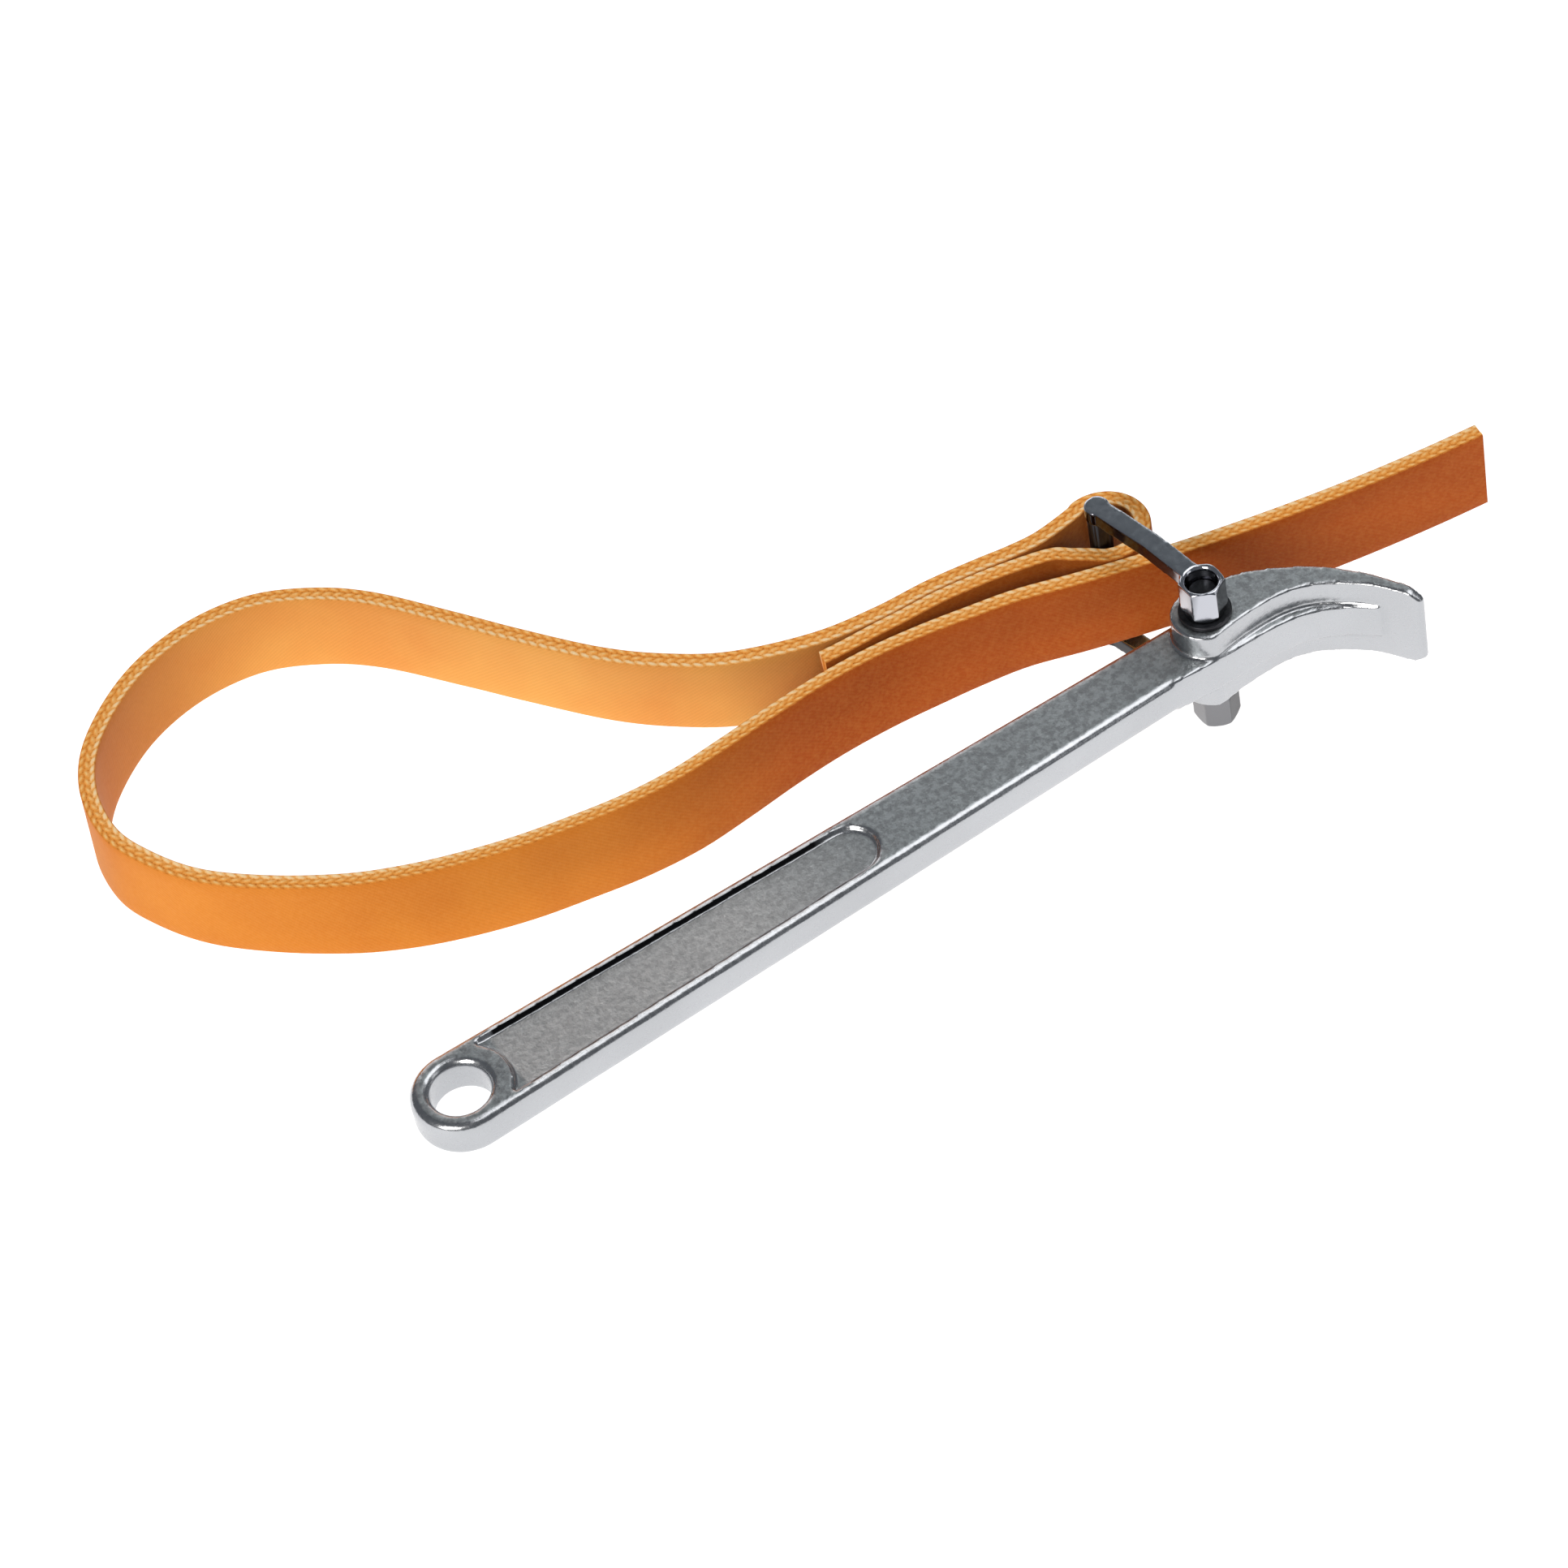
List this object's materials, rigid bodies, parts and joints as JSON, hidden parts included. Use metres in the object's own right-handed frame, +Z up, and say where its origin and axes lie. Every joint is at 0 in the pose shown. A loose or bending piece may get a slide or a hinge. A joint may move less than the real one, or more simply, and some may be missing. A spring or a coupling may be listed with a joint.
{
  "type": "strap oil filter wrench",
  "caption": "Strap-type oil filter wrench: cast steel handle with a hang hole and curved cam head, swivelling shackle, and a stiff belt looped to grip a filter and drawn tight by its tail.",
  "frame": {"origin": "centre of the hang hole, halfway through the bar; the bench is 6.4 mm below it", "axes": "+X along the handle from the hang hole to the head (level, the bar itself climbs 5 degrees), +Y towards the strap loop, +Z up off the bench"},
  "size_m": [0.3491, 0.1957, 0.052],
  "materials": {
    "handle_steel": "satin plated casting, polished edges",
    "shackle_steel": "bright plated",
    "dark_steel": "black oxide",
    "belt": "waxed tan face, pale woven edge"
  },
  "bodies": {
    "handle": {"handle": "handle_steel", "upper_washer": "dark_steel", "lower_washer": "dark_steel"},
    "shackle": {"upper_link": "shackle_steel", "lower_link": "shackle_steel", "pivot_pin": "dark_steel", "anchor_pin": "dark_steel", "strap_eye": "belt"},
    "belt_loop": {"strap_bend": "belt", "strap_back_run": "belt"},
    "belt_tail": {"strap_feed": "belt", "strap_front_run": "belt"}
  },
  "joints": [
    {"name": "shackle_pivot", "type": "hinge", "parent": "handle", "child": "shackle", "pos_m": [0.22313, 0, 0.01976], "axis": [-0.0882, 0, 0.9961], "range_deg": [-30, 4]},
    {"name": "belt_draw", "type": "slide", "parent": "shackle", "child": "belt_loop", "axis": [0.9455, -0.3256, 0], "range_m": [-0.004, 0.02], "deforming": ["strap_back_run"]},
    {"name": "tail_draw", "type": "slide", "parent": "belt_loop", "child": "belt_tail", "axis": [0.9177, -0.3617, 0.1645], "range_m": [-0.0045, 0.0205], "deforming": ["strap_front_run"]}
  ],
  "couplings": [
    {"joint": "tail_draw", "follows": "belt_draw", "ratio": 1.0071}
  ]
}
